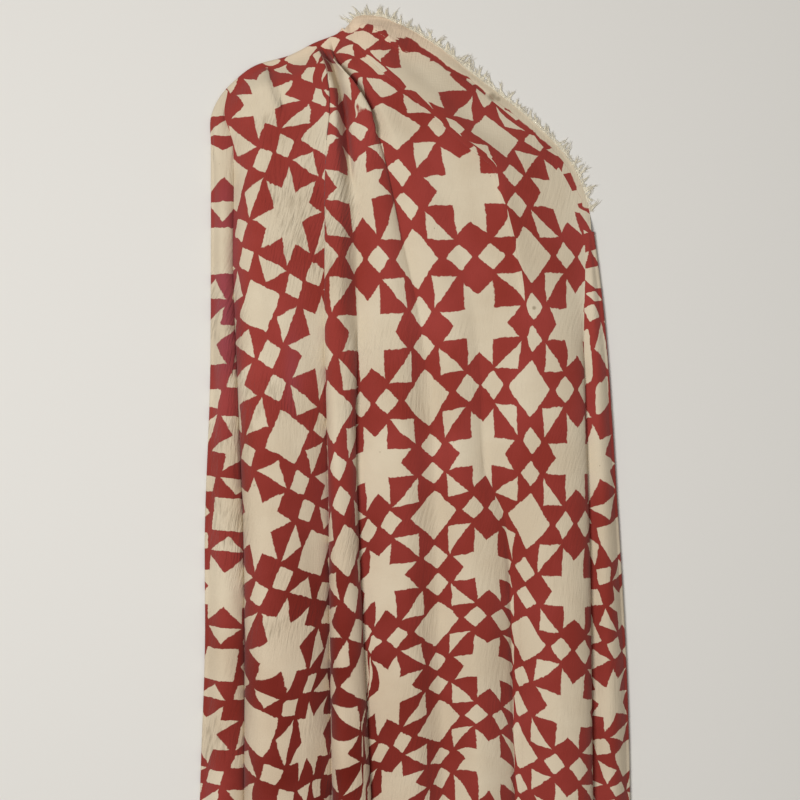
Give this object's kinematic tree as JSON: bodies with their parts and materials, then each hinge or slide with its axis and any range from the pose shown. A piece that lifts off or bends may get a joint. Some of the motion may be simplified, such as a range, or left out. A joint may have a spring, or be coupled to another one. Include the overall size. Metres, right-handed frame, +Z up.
{
  "type": "folded dabu print fabric",
  "caption": "Loose length of dabu block-printed cotton, laid in long folds that gather towards a shoulder, with its sides turned under and its raw end frayed into a short fringe.",
  "frame": {"origin": "middle of the outline, on the surface that the cloth lies on", "axes": "+X across the cloth, +Y up its length to the gathered end, +Z up from the surface"},
  "size_m": [0.4382, 0.9362, 0.0458],
  "materials": {
    "printed_cotton": "matte",
    "frayed_threads": "matte"
  },
  "bodies": {
    "root": {"cloth": "printed_cotton", "frayed_end": "frayed_threads"}
  },
  "joints": []
}
